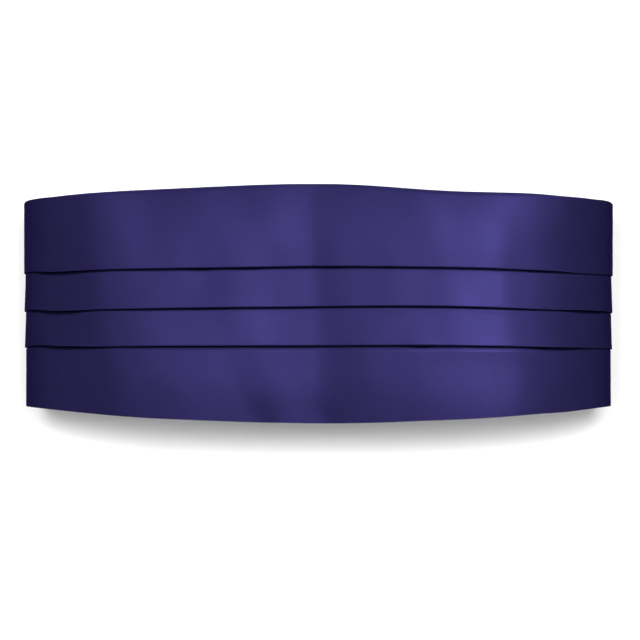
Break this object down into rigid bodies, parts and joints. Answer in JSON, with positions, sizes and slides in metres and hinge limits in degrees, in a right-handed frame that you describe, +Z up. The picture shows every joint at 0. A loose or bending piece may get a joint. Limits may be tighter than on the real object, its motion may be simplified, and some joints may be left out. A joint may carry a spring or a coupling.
{
  "type": "cummerbund",
  "caption": "Pleated satin waist sash with downward folds on the front, fastened into a loop by narrow back straps on a flat clasp.",
  "frame": {"origin": "under the middle of the loop, on the surface that it lies on", "axes": "+X runs from side to side round the waist, +Y across the band towards its upper edge, +Z up out of the pleated front"},
  "size_m": [0.316, 0.127, 0.0539],
  "materials": {
    "satin": "dark violet-blue satin with a broad soft sheen",
    "strap": "plain dark grosgrain",
    "clasp": "plain nickel-plated"
  },
  "bodies": {
    "root": {"pleated_front": "satin", "strap_right": "strap", "strap_left": "strap", "clasp": "clasp"}
  },
  "joints": []
}
